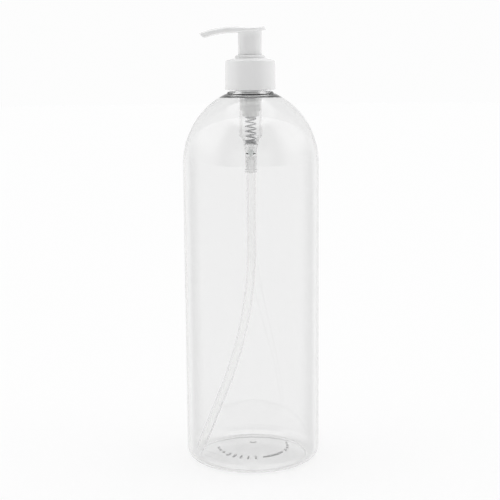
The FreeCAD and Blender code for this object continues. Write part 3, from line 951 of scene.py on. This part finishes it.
class BUILD_OT_head(bpy.types.Operator):
    """Build the press head: saddle plate, drooping spout and skirt"""

    bl_idname = "pump_bottle.head"
    bl_label = "Press head"

    def execute(self, context):
        sizes = context.scene.pump_sizes
        mesh = self.plate(sizes)
        add_to(mesh, self.skirt(sizes))
        finish_piece("press_head", mesh, "head", "actuator", pump_white())
        return {"FINISHED"}

    def plate(self, sizes):
        """A string of rounded sections along X, bridged into one skin, with the outlet at the tip."""
        mesh = bmesh.new()
        count = 60
        rings = [self.section(mesh, index / count, sizes) for index in range(count + 1)]
        for ring, following in zip(rings, rings[1:]):
            bmesh.ops.bridge_loops(mesh, edges=ring + following)
        bmesh.ops.holes_fill(mesh, edges=[edge for edge in mesh.edges if edge.is_boundary], sides=0)
        clean(mesh)
        ends = [face for face in mesh.faces if len(face.verts) > 4]
        rims = [edge for face in ends for edge in face.edges]
        bmesh.ops.bevel(mesh, geom=rims, offset=0.0002, offset_type="OFFSET", segments=2, profile=0.5,
                        affect="EDGES", material=-1, clamp_overlap=True)
        self.bore(mesh, sizes)
        return mesh

    def section(self, mesh, share, sizes):
        """One closed section at a share of the way from the tip to the back: crisp below, round above."""
        top_x = TIP_TOP[0] + (BACK_TOP[0] - TIP_TOP[0]) * share
        bottom_x = TIP_BOTTOM[0] + (BACK_BOTTOM[0] - TIP_BOTTOM[0]) * share
        top = Vector((top_x, 0, plate_top(top_x)))
        bottom = Vector((bottom_x, 0, plate_bottom(bottom_x)))
        made = bmesh.ops.create_circle(mesh, segments=72, radius=1)
        for vert in made["verts"]:
            roundness = 0.8 if vert.co.y > 0 else 0.3
            across, up = (math.copysign(abs(part) ** roundness, part) for part in vert.co.xy)
            place = bottom.lerp(top, (1 + up) / 2)
            place.y = across * plate_half_width(place.x, sizes)
            vert.co = place
        return [edge for edge in mesh.edges if all(vert in made["verts"] for vert in edge.verts)]

    def bore(self, mesh, sizes):
        """Sink the outlet into the slanted face of the tip."""
        face = min((face for face in mesh.faces if len(face.verts) > 8),
                   key=lambda face: face.calc_center_median().x)
        inward = Vector((0.0037, 0, 0.0014))
        bmesh.ops.inset_individual(mesh, faces=[face], thickness=0.0003, use_even_offset=True)
        centre = face.calc_center_median()
        for vert in face.verts:
            vert.co = centre + (vert.co - centre).normalized() * sizes.orifice_radius
        pushed = bmesh.ops.extrude_face_region(mesh, geom=[face])
        moved = [item for item in pushed["geom"] if isinstance(item, bmesh.types.BMVert)]
        bmesh.ops.translate(mesh, verts=moved, vec=inward)
        bmesh.ops.delete(mesh, geom=[face], context="FACES_ONLY")

    def skirt(self, sizes):
        """The tube that slides in the collar, with the socket that grips the stem."""
        bottom = low("actuator").z
        inside = sizes.skirt_radius - 0.001
        line = Outline(inside, bottom)
        for radius, height in ((sizes.skirt_radius, bottom), (sizes.skirt_radius, 0.2618), (0, 0.2618),
                               (0, 0.2608), (0.0023, 0.2608), (0.0023, 0.2596), (0.00363, 0.2596),
                               (0.00363, 0.2460), (0.0047, 0.2460), (0.0047, 0.2596), (inside, 0.2596)):
            line.line(radius, height)
        mesh = line.turn(sizes.segments)
        soften(mesh, 0.0002, 0.4, 2)
        return mesh


# ---------------------------------------------------------------------------------------------- the stage


class BUILD_OT_stage(bpy.types.Operator):
    """Build the pale floor, the soft studio light and the camera"""

    bl_idname = "pump_bottle.stage"
    bl_label = "Stage"

    def execute(self, context):
        sizes = context.scene.stage_sizes
        self.floor(sizes)
        self.light(context, sizes)
        self.camera(context, sizes)
        context.scene.view_settings.view_transform = "Standard"
        context.scene.cycles.transparent_max_bounces = 32
        return {"FINISHED"}

    def floor(self, sizes):
        mesh = bmesh.new()
        bmesh.ops.create_circle(mesh, cap_ends=True, segments=96, radius=sizes.floor_radius)
        data = bpy.data.meshes.new("studio_floor")
        mesh.to_mesh(data)
        mesh.free()
        floor = bpy.data.objects.new("studio_floor", data)
        bpy.context.scene.collection.objects.link(floor)
        data.materials.append(floor_paint("floor_paint", sizes.floor_colour, sizes.floor_glow))

    def light(self, context, sizes):
        """A pale room: bright overhead, at both sides and behind, and dark high up in front."""
        world = bpy.data.worlds.new("studio")
        context.scene.world = world
        shader = Shader(world)
        direction = shader.node("ShaderNodeTexCoord").outputs["Generated"]
        axes = shader.node("ShaderNodeSeparateXYZ", inputs={0: direction})
        x, y, z = (Value(shader, socket) for socket in axes.outputs)
        flat = (x * x + y * y + 1e-6) ** 0.5
        aside = x.size() / flat
        in_front = 1 - aside.smooth_step(0.40, 0.68)
        at_side = aside.smooth_step(0.72, 1.0)
        high_up = z.smooth_step(0.30, 0.50)
        overhead = z.smooth_step(0.80, 0.90)
        behind = y.smooth_step(-0.2, 0.2)
        middle = high_up.blend(behind.blend(sizes.front_light, sizes.backdrop_light),
                               behind.blend(sizes.front, sizes.back))
        corners = behind.blend(sizes.flags, sizes.back_flags)
        sides = z.smooth_step(0.10, 0.40).blend(sizes.low_sides, sizes.sides)
        room = overhead.blend(in_front.blend(at_side.blend(corners, sides), middle), sizes.overhead)
        seen = shader.value("ShaderNodeLightPath", "Is Camera Ray")
        strength = room * (1 - seen) + seen * sizes.backdrop
        surface = shader.node("ShaderNodeBackground", inputs={"Color": (1, 1, 1, 1), "Strength": strength})
        shader.show(surface.outputs[0], "ShaderNodeOutputWorld")

    def camera(self, context, sizes):
        data = bpy.data.cameras.new("studio_camera")
        data.lens = sizes.lens
        data.sensor_width = 36
        data.clip_start = 0.01
        camera = bpy.data.objects.new("studio_camera", data)
        context.scene.collection.objects.link(camera)
        aim = Matrix.Rotation(math.pi / 2 - sizes.tilt, 4, "X") @ Matrix.Rotation(sizes.roll, 4, "Z")
        place = Matrix.Translation((sizes.camera_aside, -sizes.distance, sizes.camera_height))
        camera.matrix_world = place @ aim
        context.scene.camera = camera


# -------------------------------------------------------------------------------------------- the add-on


PIECES = (BUILD_OT_bottle, BUILD_OT_marks, BUILD_OT_closure, BUILD_OT_collar, BUILD_OT_barrel, BUILD_OT_tube,
          BUILD_OT_valve_ball, BUILD_OT_spring, BUILD_OT_plunger, BUILD_OT_head, BUILD_OT_stage)
SETTINGS = {"bottle_sizes": BottleSizes, "pump_sizes": PumpSizes, "bottle_finishes": Finishes,
            "stage_sizes": StageSizes}


class BUILD_PT_panel(bpy.types.Panel):
    """Lists the operators in the sidebar"""

    bl_idname = "BUILD_PT_panel"
    bl_label = "Pump Bottle"
    bl_space_type = "VIEW_3D"
    bl_region_type = "UI"
    bl_category = "Pump Bottle"

    def draw(self, context):
        for operator in PIECES:
            self.layout.operator(operator.bl_idname)


def register():
    for kind in (*SETTINGS.values(), *PIECES, BUILD_PT_panel):
        bpy.utils.register_class(kind)
    for name, kind in SETTINGS.items():
        setattr(bpy.types.Scene, name, PointerProperty(type=kind))


def unregister():
    for name in SETTINGS:
        delattr(bpy.types.Scene, name)
    for kind in (BUILD_PT_panel, *reversed(PIECES), *SETTINGS.values()):
        bpy.utils.unregister_class(kind)


def main():
    register()
    for operator in PIECES:
        getattr(bpy.ops.pump_bottle, operator.bl_idname.split(".")[1])()


if __name__ == "__main__":
    main()
